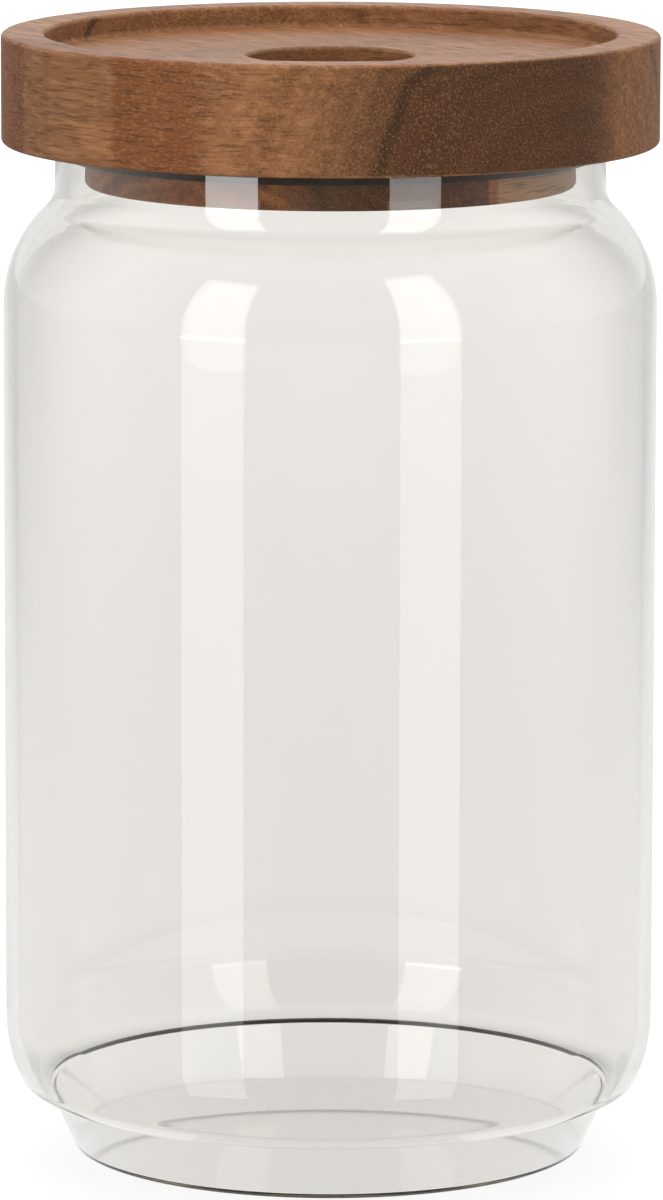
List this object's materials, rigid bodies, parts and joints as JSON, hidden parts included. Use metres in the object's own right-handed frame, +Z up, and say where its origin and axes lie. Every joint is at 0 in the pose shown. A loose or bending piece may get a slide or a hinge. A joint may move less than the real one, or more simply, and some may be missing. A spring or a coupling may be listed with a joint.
{
  "type": "food canister",
  "caption": "Clear glass storage jar with a rounded shoulder and stepped foot, closed by a lift-off dished wooden lid with a finger hole and a seal ring.",
  "frame": {"origin": "middle of the jar's base, on the surface it stands on", "axes": "+Z up along the axis that every piece is turned about; -Y is the side the picture was taken from"},
  "size_m": [0.1, 0.1, 0.172],
  "materials": {
    "clear_glass": "clear blown borosilicate glass, fire-polished rim",
    "acacia": "turned and sanded acacia, oiled satin",
    "clear_silicone": "translucent moulded silicone, matt"
  },
  "bodies": {
    "jar": {"glass_jar": "clear_glass"},
    "seal": {"lid_seal": "clear_silicone"},
    "lid": {"lid_top": "acacia", "lid_plug": "acacia"}
  },
  "joints": [
    {"name": "lid_lift", "type": "slide", "parent": "jar", "child": "seal", "axis": [0, 0, 1], "range_m": [0, 0.15]},
    {"name": "lid_turn", "type": "hinge", "parent": "seal", "child": "lid", "pos_m": [0, 0, 0.1554], "axis": [0, 0, 1], "continuous": true}
  ]
}
